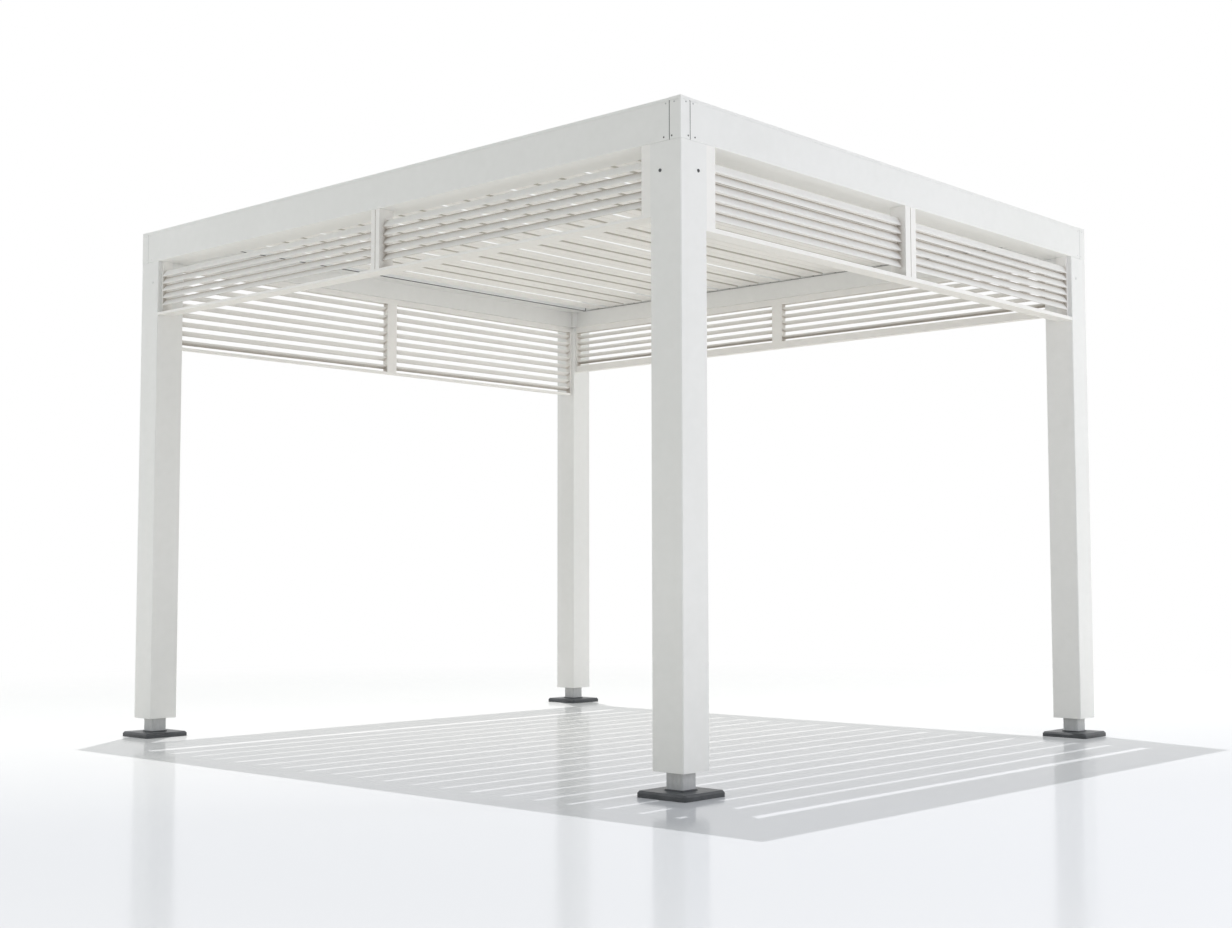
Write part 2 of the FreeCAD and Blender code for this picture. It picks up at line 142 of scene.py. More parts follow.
class Finish:
    """A node material in the making."""

    def __init__(self, name, **constants):
        self.material = bpy.data.materials.new(name)
        self.material.use_nodes = True
        self.tree = self.material.node_tree
        self.shader = self.tree.nodes["Principled BSDF"]
        for socket, value in constants.items():
            self.shader.inputs[socket.replace("_", " ")].default_value = value

    def node(self, kind, settings=None, inputs=None, output=0):
        """Makes a node: its settings first, then the values or links of its inputs."""
        made = self.tree.nodes.new(kind)
        for name, value in (settings or {}).items():
            setattr(made, name, value)
        for name, value in (inputs or {}).items():
            if isinstance(value, Wire):
                self.tree.links.new(value.socket, made.inputs[name])
            else:
                made.inputs[name].default_value = value
        return Wire(self, made.outputs[output])

    def put(self, **links):
        """Links wires to the surface shader's inputs."""
        for name, wire in links.items():
            self.tree.links.new(wire.socket, self.shader.inputs[name.replace("_", " ")])

    def place(self, stretch=(1, 1, 1)):
        """Object coordinates in metres, stretched for patterns that run one way."""
        found = self.node("ShaderNodeTexCoord", output="Object")
        return self.node("ShaderNodeMapping", {}, {"Vector": found, "Scale": stretch})

    def noise(self, size, stretch=(1, 1, 1), detail=3.0, seed=0.0):
        """Soft noise from 0 to 1 whose patches are about size metres across."""
        inputs = {"Vector": self.place(stretch), "Scale": 1 / size, "Detail": detail, "W": seed}
        return self.node("ShaderNodeTexNoise", {"noise_dimensions": "4D"}, inputs)

    def blend(self, share, low, high):
        """A colour between two colours."""
        settings = {"data_type": "RGBA"}
        return self.node("ShaderNodeMix", settings, {0: share, 6: low, 7: high}, output=2)

    def bump(self, height, depth):
        """A normal from a height of 0 to 1 that stands for depth metres."""
        return self.node("ShaderNodeBump", {}, {"Height": height, "Distance": depth, "Strength": 1.0})


def dress(node, finish):
    """Gives a solid its finish through its object's material slots."""
    thing = frame["nodes"][node]
    for slot in thing.material_slots:
        slot.link = "OBJECT"
        slot.material = finish.material


print("helpers ready")

# %% [markdown]
# The coat is a polyester powder, sprayed on dry and baked. Close to, it has an orange peel of about
# two millimetres and a satin sheen; from afar it is an almost even white that varies by a few
# percent. The three coats differ a little, as batches do. Between the valances' slats and in the
# blades' grooves the colour is darkened towards taupe: that is painted shade, for the deep shade
# between the parts. An ambient occlusion node finds such nooks by itself: its value falls where the
# solid shelters its own surface.

# %% Powder coats
DRIFT_SIZE = 0.9
MOTTLE_SIZE = 0.035
PEEL_SIZE = 0.0022
PEEL_DEPTH = 0.00006
COAT_ROUGHNESS = 0.40
SHADE_REACH = 0.055
SLAT_SHELTER = (0.1, 0.88)
GROOVE_SHELTER = (0.5, 0.97)


def powder_coat(name, pale, deep, stretch=(1, 1, 1), painted_nook_shade=None, shelter=SLAT_SHELTER):
    """A satin baked coat: broad tone drift, faint mottling, fine orange peel and painted shade in
    nooks.
    """
    coat = Finish(name, Metallic=0.0, IOR=1.48)
    drift = coat.noise(DRIFT_SIZE, stretch, detail=2.0)
    mottle = coat.noise(MOTTLE_SIZE, stretch, detail=4.0, seed=3.0)
    share = (drift * 0.65 + mottle * 0.35).ramp(0.32, 0.68)
    tone = coat.blend(share, deep, pale)
    # Painted shade: where the solid shelters its own surface, the colour darkens towards the nook tone.
    if painted_nook_shade:
        open_air = coat.node("ShaderNodeAmbientOcclusion", {"samples": 8, "only_local": True},
                             {"Distance": SHADE_REACH}, output="AO")
        tone = coat.blend(open_air.ramp(*shelter), painted_nook_shade, tone)
    coat.put(Base_Color=tone)
    coat.put(Roughness=COAT_ROUGHNESS + drift * 0.08 + mottle * 0.06)
    peel = coat.noise(PEEL_SIZE, stretch, detail=2.0, seed=7.0)
    coat.put(Normal=coat.bump(peel, PEEL_DEPTH))
    return coat


frame_coat = powder_coat("frame_coat", (0.845, 0.848, 0.842, 1), (0.805, 0.81, 0.80, 1))
# The taupe nook tones given to the valances and the blades are painted shade.
valance_coat = powder_coat("valance_coat", (0.89, 0.882, 0.865, 1), (0.85, 0.84, 0.82, 1),
                           painted_nook_shade=(0.42, 0.365, 0.31, 1))
blade_coat = powder_coat("blade_coat", (0.90, 0.89, 0.872, 1), (0.86, 0.85, 0.828, 1),
                         stretch=(0.08, 1, 1), painted_nook_shade=(0.40, 0.355, 0.30, 1), shelter=GROOVE_SHELTER)
print("coats made")

# %% [markdown]
# The stubs are hot-dip galvanised, which leaves a spangle of zinc crystals, each with its own grey.
# A Voronoi texture gives every cell one random tone, so it is the natural start for a spangle. The
# plates have a rough charcoal coat: a fine grit for its grain, and broad scuffs where shoes and
# brooms rub it. Noise in two sizes is enough for both.

# %% Galvanised steel and dark plates
SPANGLES_PER_METRE = 95.0
STREAK_SIZE = 0.02
GRIT_SIZE = 0.0018
SCUFF_SIZE = 0.05

steel = Finish("galvanised_steel", Metallic=0.2, IOR=1.5)
spangle = steel.node("ShaderNodeTexVoronoi", {"feature": "F1"},
                     {"Vector": steel.place((1, 1, 0.6)), "Scale": SPANGLES_PER_METRE}, output="Color")
crystal = steel.node("ShaderNodeSeparateColor", {}, {0: spangle})
streak = steel.noise(STREAK_SIZE, (1, 1, 0.12), detail=3.0)
tone = (crystal * 0.3 + streak * 0.7).ramp(0.1, 0.9)
steel.put(Base_Color=steel.blend(tone, (0.47, 0.48, 0.488, 1), (0.57, 0.58, 0.588, 1)))
steel.put(Roughness=0.36 + crystal * 0.16, Normal=steel.bump(streak, 0.0001))

plate = Finish("dark_plate", Metallic=0.0, IOR=1.5)
grit = plate.noise(GRIT_SIZE, detail=4.0)
scuff = plate.noise(SCUFF_SIZE, detail=5.0, seed=2.0)
share = (scuff * 0.7 + grit * 0.3).ramp(0.3, 0.75)
plate.put(Base_Color=plate.blend(share, (0.038, 0.042, 0.048, 1), (0.075, 0.081, 0.09, 1)))
plate.put(Roughness=0.30 + scuff * 0.2, Normal=plate.bump(grit, 0.00015))

finish_of = {"base_plate": plate, "foot_stub": steel, "valance": valance_coat, "roof_blade": blade_coat}
for name in frame["nodes"]:
    found = [finish for start, finish in finish_of.items() if name.startswith(start)]
    dress(name, found[0] if found else frame_coat)
print("solids dressed:", len(frame["nodes"]))

# %% [markdown]
# Fittings need a few more finishes: blackened zinc for bare screws and paint for the covered ones, a
# dull elastomer, black or pale, for seals and gaskets, a taupe one for rain lips, and a dark grey
# moulded plastic for caps, bushes and wipers. The lips' taupe and the dark grey of the caps and
# wipers are painted shade: they draw the dark lines in the gaps between blades and where the blade
# ends meet the beams. Each is one base tone with a little grain, so one function makes them all. A
# mould leaves a fine even texture, and handling leaves soft patches.

# %% Finishes of the fittings
PATCH_SIZE = 0.006
GRAIN_SIZE = 0.0007
GRAIN_DEPTH = 0.00005


def fitting_finish(name, pale, deep, rough, metallic=0.0):
    """A small part's finish: soft patches of tone over a fine grain."""
    made = Finish(name, Metallic=metallic, IOR=1.5)
    patch = made.noise(PATCH_SIZE, detail=3.0)
    grain = made.noise(GRAIN_SIZE, detail=2.0, seed=4.0)
    made.put(Base_Color=made.blend((patch * 0.7 + grain * 0.3).ramp(0.3, 0.7), deep, pale))
    made.put(Roughness=rough + patch * 0.15, Normal=made.bump(grain, GRAIN_DEPTH))
    return made


black_zinc = fitting_finish("black_zinc", (0.16, 0.165, 0.17, 1), (0.09, 0.092, 0.096, 1), 0.32, 0.8)
seal_rubber = fitting_finish("seal_rubber", (0.10, 0.10, 0.10, 1), (0.06, 0.06, 0.06, 1), 0.6)
# The lips' taupe tone is painted shade for the dark lines in the gaps between blades.
lip_rubber = fitting_finish("lip_rubber", (0.56, 0.525, 0.475, 1), (0.49, 0.46, 0.415, 1), 0.55)
# On caps and wipers this dark grey is painted shade for the gaps at the blade ends; the bushes keep it
# as their own colour.
grey_plastic = fitting_finish("grey_plastic", (0.30, 0.295, 0.285, 1), (0.24, 0.235, 0.23, 1), 0.45)
painted_head = fitting_finish("painted_head", (0.80, 0.805, 0.80, 1), (0.74, 0.745, 0.74, 1), 0.40)
pale_gasket = fitting_finish("pale_gasket", (0.66, 0.665, 0.66, 1), (0.60, 0.605, 0.60, 1), 0.55)
print("fitting finishes made")

# %% [markdown]
# Small parts are modelled as by hand: a primitive at its real size, then edits to chosen faces or
# edges. An operator acts on all that is selected, so every helper first selects one object alone,
# and pick() then chooses faces or edges by where their corners lie.

# %% Modelling helpers
TINY = 1e-5
MILLI = 0.001
SMOOTH_UNDER = math.radians(32)


def alone(thing):
    """Selects one object and nothing else, and makes it active."""
    bpy.ops.object.select_all(action="DESELECT")
    thing.select_set(True)
    bpy.context.view_layer.objects.active = thing


def settle(name):
    """Applies the active object's place, turn and scale to its mesh, and names it."""
    bpy.ops.object.transform_apply(location=True, rotation=True, scale=True)
    made = bpy.context.active_object
    made.name = name
    made.data.name = name
    return made


def block(name, low, high):
    """A cube stretched over the box between two corners."""
    low, high = Vector(low), Vector(high)
    bpy.ops.object.select_all(action="DESELECT")
    bpy.ops.mesh.primitive_cube_add(size=1, location=(low + high) / 2, scale=high - low)
    return settle(name)


def rod(name, sides, radius, low, high):
    """A cylinder about the Z axis between two heights."""
    bpy.ops.object.select_all(action="DESELECT")
    bpy.ops.mesh.primitive_cylinder_add(vertices=sides, radius=radius, depth=high - low,
                                        location=(0, 0, (low + high) / 2))
    return settle(name)


def pick(thing, kind, test):
    """Selects the faces or edges whose corners pass a test, and leaves the piece in edit mode."""
    alone(thing)
    bpy.ops.object.mode_set(mode="EDIT")
    bpy.ops.mesh.select_mode(type=kind)
    bpy.ops.mesh.select_all(action="DESELECT")
    bpy.ops.object.mode_set(mode="OBJECT")
    points = thing.data.vertices
    for part in (thing.data.polygons if kind == "FACE" else thing.data.edges):
        part.select = test([points[index].co for index in part.vertices])
    bpy.ops.object.mode_set(mode="EDIT")


def lies_at(**places):
    """A test for pick(): every corner lies at the given x, y or z."""
    wanted = [("xyz".index(axis), value) for axis, value in places.items()]
    return lambda corners: all(abs(corner[axis] - value) < TINY
                               for corner in corners for axis, value in wanted)


def runs_along(axis, least=TINY):
    """A test for pick(): an edge reaches further along an axis than a least length."""
    index = "xyz".index(axis)
    return lambda corners: abs(corners[0][index] - corners[1][index]) > least


def both(first, second):
    """A test for pick() that two tests have to pass."""
    return lambda corners: first(corners) and second(corners)


def round_edges(thing, test, width, segments=2):
    """Bevels the edges that pass a test."""
    pick(thing, "EDGE", test)
    bpy.ops.mesh.bevel(offset=width, segments=segments, affect="EDGES")
    bpy.ops.object.mode_set(mode="OBJECT")


def pull(thing, test, step):
    """Extrudes the faces that pass a test by a step."""
    pick(thing, "FACE", test)
    bpy.ops.mesh.extrude_region_move(TRANSFORM_OT_translate={"value": step})
    bpy.ops.object.mode_set(mode="OBJECT")


def cut(thing, cutter):
    """Takes the cutter's space out of a piece."""
    alone(thing)
    carve = thing.modifiers.new("carve", "BOOLEAN")
    carve.operation = "DIFFERENCE"
    carve.solver = "EXACT"
    carve.object = cutter
    bpy.ops.object.modifier_apply(modifier=carve.name)
    bpy.data.objects.remove(cutter)


def placed(pattern, name, spot, facing=None):
    """A copy of a pattern with its own mesh, moved to a spot, its +Z turned along facing."""
    alone(pattern)
    bpy.ops.object.duplicate()
    turn = Vector(facing).to_track_quat("Z", "Y").to_matrix().to_4x4() if facing else Matrix()
    bpy.context.active_object.matrix_world = Matrix.Translation(spot) @ turn
    return settle(name)


def joined(name, parts):
    """Several parts made one piece."""
    alone(parts[0])
    for part in parts:
        part.select_set(True)
    bpy.ops.object.join()
    return settle(name)


def fit(piece, finish, body="frame"):
    """Gives a finished piece its look and the body that it moves with."""
    piece.data.materials.clear()
    piece.data.materials.append(finish.material)
    alone(piece)
    bpy.ops.object.shade_smooth_by_angle(angle=SMOOTH_UNDER)
    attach(piece, body)


print("modelling helpers ready")

# %% [markdown]
# The ring of beams is screwed to the corner blocks and the posts' heads with socket screws: a low
# domed head with a hexagon in it. One head is modelled, from a cylinder whose top edge is rounded
# and whose socket is cut by a six-sided one, and every other head is a copy that is turned to
# its face. The front left corner shows bare heads. The other three are painted over, as a fitter
# does once all is tight, and hardly show.

# %% Screw heads
HEAD_SIDES = 24


def screw_head(name, radius, height):
    """A domed head with a hexagon socket, standing on Z = 0."""
    head = rod(name, HEAD_SIDES, radius, 0, height)
    round_edges(head, lies_at(z=height), 0.6 * height, 3)
    cut(head, rod("socket", 6, 0.45 * radius, 0.35 * height, 2 * height))
    return head


CORNERS = {"front_left": (-1, -1), "front_right": (1, -1), "back_right": (1, 1), "back_left": (-1, 1)}
BARE_CORNER = "front_left"
HEAD_SIZES = {"large": (0.0066, 0.0022), "small": (0.0033, 0.0012)}
beam_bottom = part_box("beam_front")[0].z
ring_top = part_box("beam_front")[1].z

# Each head on a face: its kind, its distance in from the corner's edge and its height.
HEAD_PLACES = (("large", 0.098, beam_bottom - 0.105),
               ("small", 0.042, beam_bottom + 0.013),
               ("small", 0.080, beam_bottom + 0.013),
               ("bright", 0.030, ring_top - 0.020),
               ("bright", 0.070, ring_top - 0.020))


def screw_places(corner):
    """Where the heads go on a corner's two outer faces: (kind, spot, facing) for each."""
    side_x, side_y = CORNERS[corner]
    low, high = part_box("post_" + corner)
    face_x = high.x if side_x > 0 else low.x
    face_y = high.y if side_y > 0 else low.y
    places = []
    for on_x_face in (True, False):
        facing = (side_x, 0, 0) if on_x_face else (0, side_y, 0)
        for kind, inward, height in HEAD_PLACES:
            if on_x_face:
                spot = (face_x, face_y - side_y * inward, height)
            else:
                spot = (face_x - side_x * inward, face_y, height)
            places.append((kind, spot, facing))
    return places


heads = {size: screw_head(size + "_head", *HEAD_SIZES[size]) for size in HEAD_SIZES}
heads["bright"] = heads["small"]
for corner in CORNERS:
    for bright, name, bare in ((False, "screws_", black_zinc), (True, "cap_screws_", steel)):
        copies = [placed(heads[kind], kind, spot, facing)
                  for kind, spot, facing in screw_places(corner) if (kind == "bright") == bright]
        fit(joined(name + corner, copies), bare if corner == BARE_CORNER else painted_head)
print("screw heads at each corner:", len(screw_places(BARE_CORNER)))

# %% [markdown]
# Each corner block stands between two reveals, the thin gaps that hide how far aluminium grows in
# the sun. A gasket closes each one: its stem is pressed into the gap and its cap laps over both
# edges. Dark ones draw the two fine upright lines beside the front left corner, and at the other
# corners they are pale. Each starts as a strip for the stem, whose front is pulled out, widened and
# rounded into the cap.

# %% Reveal gaskets
REVEAL = 2.0 * MILLI
GASKET_CAP = 0.7 * MILLI
GASKET_LAP = 0.35 * MILLI
GASKET_DEPTH = 6.0 * MILLI
GASKET_PROUD = 0.02 * MILLI
BLOCK_CAP_HEIGHT = 12.0 * MILLI
SIDE_PLAY = 0.1 * MILLI


def reveal_gasket(corner, on_x_face):
    """The strip in one of a corner's two reveals."""
    side_x, side_y = CORNERS[corner]
    low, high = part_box("corner_block_" + corner)
    outer = (high.x if side_x > 0 else low.x, high.y if side_y > 0 else low.y)
    inner = (low.x if side_x > 0 else high.x, low.y if side_y > 0 else high.y)
    reach, sides = (0, (side_x, side_y)) if on_x_face else (1, (side_y, side_x))
    across = 1 - reach
    ends = [[0, 0, beam_bottom + SIDE_PLAY], [0, 0, ring_top - BLOCK_CAP_HEIGHT - SIDE_PLAY]]
    face = outer[reach] + sides[0] * GASKET_PROUD
    ends[0][reach], ends[1][reach] = sorted((face, face - sides[0] * GASKET_DEPTH))
    near, far = inner[across] + sides[1] * SIDE_PLAY, inner[across] + sides[1] * (REVEAL - SIDE_PLAY)
    ends[0][across], ends[1][across] = sorted((near, far))
    strip = block("strip", *ends)
    wider = [1, 1, 1]
    wider[across] = 1 + 2 * GASKET_LAP / (REVEAL - 2 * SIDE_PLAY)
    step = [0, 0, 0]
    step[reach] = sides[0] * GASKET_CAP
    pick(strip, "FACE", lies_at(**{"xy"[reach]: face}))
    bpy.ops.mesh.extrude_region_move(TRANSFORM_OT_translate={"value": (0, 0, 0)})
    bpy.ops.transform.resize(value=wider)
    bpy.ops.mesh.extrude_region_move(TRANSFORM_OT_translate={"value": step})
    bpy.ops.object.mode_set(mode="OBJECT")
    front = lies_at(**{"xy"[reach]: face + step[reach]})
    round_edges(strip, both(front, runs_along("z", REVEAL)), 0.5 * GASKET_CAP)
    return strip


for corner in CORNERS:
    strips = [reveal_gasket(corner, True), reveal_gasket(corner, False)]
    fit(joined("gaskets_" + corner, strips), seal_rubber if corner == BARE_CORNER else pale_gasket)
print("gasket height:", round(ring_top - BLOCK_CAP_HEIGHT - beam_bottom, 4))

# %% [markdown]
# Where a wide stile meets the front left post, the post's small chamfer would leave a groove. The
# fitter fills it with a bead in the frame's colour, so that the two faces read as one. A bead is a
# square strip with its hidden edge cut away, which leaves the groove's own triangle.

# %% Stile beads
GROOVE = 2.9 * MILLI
BEAD_SETBACK = 0.15 * MILLI
BEAD_CUT = 0.93 * GROOVE


def stile_bead(name, panel, along):
    """The bead between the front left post and the wide stile of a panel."""
    low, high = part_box(panel)
    post_low, post_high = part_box("post_front_left")
    across = 1 - along
    bottom, top = [0, 0, low.z], [0, 0, high.z]
    bottom[along], top[along] = post_high[along] - GROOVE, post_high[along]
    bottom[across], top[across] = post_low[across] + BEAD_SETBACK, post_low[across] + GROOVE
    bead = block(name, bottom, top)
    hidden = {"xy"[along]: bottom[along], "xy"[across]: top[across]}
    round_edges(bead, lies_at(**hidden), BEAD_CUT, 1)
    return bead


fit(stile_bead("bead_left", "valance_left", 1), frame_coat)
fit(stile_bead("bead_front", "valance_front", 0), frame_coat)
print("beads made")

# %% [markdown]
# Inside the ring, an angle in each corner ties the two beams together below the ledge. It is a
# folded strip, so it starts as the small square of its fold, and its two legs are pulled out along
# the beams. Two screws hold each leg.

# %% Inner angles
ANGLE_LEG = 27.0 * MILLI
ANGLE_SHEET = 2.5 * MILLI
ANGLE_ROUNDING = 0.6 * MILLI
SCREW_ALONG_LEG = 0.6 * ANGLE_LEG
SCREW_SHARES = (0.25, 0.75)
ledge_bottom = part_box("ledge_front")[0].z


def inner_angle(corner):
    """The folded angle where two beams meet, with its four screws."""
    side_x, side_y = CORNERS[corner]
    post_low, post_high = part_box("post_" + corner)
    fold_x = post_low.x if side_x > 0 else post_high.x
    fold_y = post_low.y if side_y > 0 else post_high.y
    free_x, free_y = fold_x - side_x * ANGLE_SHEET, fold_y - side_y * ANGLE_SHEET
    bottom, top = beam_bottom + MILLI, ledge_bottom - MILLI
    sheet = block("sheet", (min(fold_x, free_x), min(fold_y, free_y), bottom),
                  (max(fold_x, free_x), max(fold_y, free_y), top))
    pull(sheet, lies_at(x=free_x), (-side_x * (ANGLE_LEG - ANGLE_SHEET), 0, 0))
    pull(sheet, lies_at(y=free_y), (0, -side_y * (ANGLE_LEG - ANGLE_SHEET), 0))
    tip_x, tip_y = fold_x - side_x * ANGLE_LEG, fold_y - side_y * ANGLE_LEG
    round_edges(sheet, lambda corners: lies_at(x=tip_x)(corners) or lies_at(y=tip_y)(corners),
                ANGLE_ROUNDING)
    parts = [sheet]
    for share in SCREW_SHARES:
        height = bottom + share * (top - bottom)
        spot = (free_x, fold_y - side_y * SCREW_ALONG_LEG, height)
        parts.append(placed(heads["small"], "head", spot, (-side_x, 0, 0)))
        spot = (fold_x - side_x * SCREW_ALONG_LEG, free_y, height)
        parts.append(placed(heads["small"], "head", spot, (0, -side_y, 0)))
    return joined("angle_" + corner, parts)


for corner in CORNERS:
    fit(inner_angle(corner), frame_coat)
for size in ("large", "small"):
    bpy.data.objects.remove(heads[size])
print("angle height:", round(ledge_bottom - beam_bottom, 4))

# %% [markdown]
# A fillet weld runs round each stub where it stands on its plate, painted with the plate, so that
# only a dark line shows. It is a low block with rounded upper edges, and the stub's own section is
# cut out of it, so that it hugs the steel.

# %% Foot welds
WELD = 5.0 * MILLI
STUB_CHAMFER = 5.0 * MILLI


def foot_weld(corner):
    """The weld bead round a stub's foot."""
    low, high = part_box("foot_stub_" + corner)
    ground = low.z
    weld = block("weld_" + corner, (low.x - WELD, low.y - WELD, ground),
                 (high.x + WELD, high.y + WELD, ground + WELD))
    upright = runs_along("z")
    round_edges(weld, upright, STUB_CHAMFER + 0.4 * WELD, 3)
    round_edges(weld, lies_at(z=ground + WELD), 0.75 * WELD, 3)
    core = block("core", (low.x, low.y, ground - WELD), (high.x, high.y, ground + 3 * WELD))
    round_edges(core, upright, STUB_CHAMFER, 1)
    cut(weld, core)
    return weld


for corner in CORNERS:
    fit(foot_weld(corner), plate)
print("welds made")

# %% [markdown]
# Every blade has a plastic cap on each end, and two blades in three have a rain lip clipped to the
# lower edge, which keeps water on the blade. It stands up, so it hides the sky from someone below
# but lets the high sun through, and where it is left out a line of daylight shows. The lips' taupe
# tone is painted shade for the dark line in each closed gap, and the caps' dark grey is painted
# shade for the gap at each blade's end. The cap takes its outline from the blade itself: a copy of
# the solid is cut at its end, only the cut face is kept, and that is pulled out to the cap's
# thickness. The lip starts as its clip, whose upper face is inset, pulled up to full height and
# rounded.

# %% Blade fittings
CAP_THICKNESS = 1.0 * MILLI
CAP_FLARE = (1, 1.012, 1.0626)
CUT_INSET = 2 * MILLI
CLIP_WIDTH = 3.2 * MILLI
CLIP_BOTTOM = -2.9 * MILLI
CLIP_TOP = 1.5 * MILLI
CLIP_LAP = 0.1 * MILLI
LIP_INSET = 0.7 * MILLI
LIP_TOP = 8.5 * MILLI
PIN_REACH = 20.0 * MILLI
OPEN_GAP_EVERY = 3
FIRST_OPEN_GAP = 2
BLADE_TILT = math.radians(-frame["joints"][0]["range_deg"][0])
axes = [Vector(joint["pos_m"]) for joint in frame["joints"]]
first_low, first_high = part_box("roof_blade_01")
blade_end = first_high.x - PIN_REACH
half_chord = (first_high.y - first_low.y) / 2


def end_cap(side):
    """The first blade's cap on its left (-1) or right (1) end."""
    alone(frame["nodes"]["roof_blade_01"])
    bpy.ops.object.duplicate()
    cap = settle("cap")
    bpy.ops.object.mode_set(mode="EDIT")
    bpy.ops.mesh.select_all(action="SELECT")
    bpy.ops.mesh.remove_doubles(threshold=TINY)
    bpy.ops.mesh.select_all(action="SELECT")
    bpy.ops.mesh.bisect(plane_co=(side * (blade_end - CUT_INSET), 0, 0), plane_no=(side, 0, 0),
                        use_fill=True, clear_inner=True, clear_outer=True)
    bpy.ops.mesh.select_all(action="SELECT")
    bpy.ops.transform.translate(value=(side * CUT_INSET, 0, 0))
    bpy.ops.transform.resize(value=CAP_FLARE, center_override=axes[0])
    bpy.ops.mesh.extrude_region_move(TRANSFORM_OT_translate={"value": (side * CAP_THICKNESS, 0, 0)})
    bpy.ops.mesh.select_all(action="SELECT")
    bpy.ops.mesh.normals_make_consistent(inside=False)
    bpy.ops.object.mode_set(mode="OBJECT")
    return cap


def rain_lip():
    """The lip along the first blade's lower edge, in the blade's own tilt."""
    lip = block("lip", (-blade_end, -half_chord - CLIP_WIDTH, CLIP_BOTTOM),
                (blade_end, -half_chord + CLIP_LAP, CLIP_TOP))
    pick(lip, "FACE", lies_at(z=CLIP_TOP))
    bpy.ops.mesh.inset(thickness=LIP_INSET)
    bpy.ops.mesh.extrude_region_move(TRANSFORM_OT_translate={"value": (0, 0, LIP_TOP - CLIP_TOP)})
    bpy.ops.object.mode_set(mode="OBJECT")
    lengthwise = runs_along("x", CLIP_WIDTH)
    round_edges(lip, both(lies_at(z=LIP_TOP), lengthwise), 0.5 * MILLI)
    round_edges(lip, both(lies_at(y=-half_chord - CLIP_WIDTH), lengthwise), 0.8 * MILLI)
    alone(lip)
    lip.matrix_world = Matrix.Translation(axes[0]) @ Matrix.Rotation(BLADE_TILT, 4, "X")
    return settle("lip")


caps = joined("caps", [end_cap(-1), end_cap(1)])
lip = rain_lip()
for number, axis in enumerate(axes, 1):
    body = "blade_%02d" % number
    step = axis - axes[0]
    # The caps' dark grey is painted shade at the blade ends.
    fit(placed(caps, "caps" + body[5:], step), grey_plastic, body)
    if number % OPEN_GAP_EVERY != FIRST_OPEN_GAP:
        # The lip's taupe tone is painted shade for the line in the gap.
        fit(placed(lip, "rain_lip" + body[5:], step), lip_rubber, body)
print("capped blades:", len(axes), "faces on a lip:", len(lip.data.polygons))
bpy.data.objects.remove(caps)
bpy.data.objects.remove(lip)

# %% [markdown]
# A bush is a flanged ring pressed into the beam, in which the pin turns. Only the flange shows: a
# disc with a rounded rim and a hole a little wider than the pin.

# %% Pin bushes
BUSH_RADIUS = 9.0 * MILLI
BUSH_HOLE = 5.3 * MILLI
BUSH_FLANGE = 1.2 * MILLI
BUSH_SIDES = 20
flange = rod("flange", BUSH_SIDES, BUSH_RADIUS, 0, BUSH_FLANGE)
round_edges(flange, lies_at(z=BUSH_FLANGE), 0.5 * MILLI)
cut(flange, rod("hole", BUSH_SIDES, BUSH_HOLE, -BUSH_FLANGE, 2 * BUSH_FLANGE))
inner_face_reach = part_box("beam_right")[0].x
for side, name in ((-1, "bushes_left"), (1, "bushes_right")):
    spots = [Vector((side * inner_face_reach, axis.y, axis.z)) for axis in axes]
    rings = [placed(flange, "ring", spot, (-side, 0, 0)) for spot in spots]
    fit(joined(name, rings), grey_plastic)
bpy.data.objects.remove(flange)
print("bushes on each side:", len(axes))

# %% [markdown]
# Where the roof meets the ring, strips close what would rattle or drip: a rubber drip edge along
# each ledge, a rubber plug in the gap at each of its ends, and a plastic wiper on each side beam
# just below the pins. The wipers' dark grey is painted shade for the gap where the blade ends meet
# the side beams. All three are strips with rounded edges, so one function makes them.

# %% Edge strips
DRIP_SIZE = 3.6 * MILLI
DRIP_PROUD = 1.6 * MILLI
PLUG_DEPTH = 24.0 * MILLI
PLUG_HEIGHT = 22.0 * MILLI
PLUG_PLAY = 0.2 * MILLI
WIPER_THICKNESS = 2.6 * MILLI
WIPER_HEIGHT = 2.9 * MILLI
WIPER_DROP = 9.8 * MILLI


def edge_strip(name, low, high, rounding):
    """A strip with all its edges rounded."""
    strip = block(name, low, high)
    round_edges(strip, lambda corners: True, rounding)
    return strip


for side, name in ((-1, "front"), (1, "back")):
    low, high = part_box("ledge_" + name)
    lip = low.y if side > 0 else high.y
    edge = [lip - side * DRIP_PROUD, lip - side * (DRIP_PROUD - DRIP_SIZE)]
    bottom = low.z - DRIP_PROUD
    parts = [edge_strip("drip", (low.x, min(edge), bottom), (high.x, max(edge), bottom + DRIP_SIZE),
                        0.7 * MILLI)]
    behind = [lip + side * PLUG_PLAY, lip + side * PLUG_DEPTH]
    for start, end in ((-inner_face_reach, low.x), (high.x, inner_face_reach)):
        parts.append(edge_strip("plug", (start, min(behind), low.z + PLUG_PLAY),
                                (end, max(behind), low.z + PLUG_HEIGHT), 0.8 * MILLI))
    fit(joined("drip_edge_" + name, parts), seal_rubber)

wiper_top = axes[0].z - WIPER_DROP
wiper_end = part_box("ledge_back")[0].y - 2 * DRIP_PROUD
for side, name in ((-1, "left"), (1, "right")):
    reach = sorted((side * inner_face_reach, side * (inner_face_reach - WIPER_THICKNESS)))
    # The wiper's dark grey is painted shade for the gap along the side beam.
    fit(edge_strip("wiper_" + name, (reach[0], -wiper_end, wiper_top - WIPER_HEIGHT),
                   (reach[1], wiper_end, wiper_top), 0.7 * MILLI), grey_plastic)
print("edge strips made, wiper top at", round(wiper_top, 4))

# %% [markdown]
# The floor is a pale, polished sweep that keeps the pergola's striped shadow and a faint reflection
# of its posts. The object gets warm light from it, as from a sunlit terrace: that is the bounce.
# What the camera sees is a cooler tone that pales towards the back. Past the roof's middle a faint
# glow makes up for the light that the lamp loses with distance, and well outside the posts the
# floor turns plain white, so that no edge or horizon shows from any side.

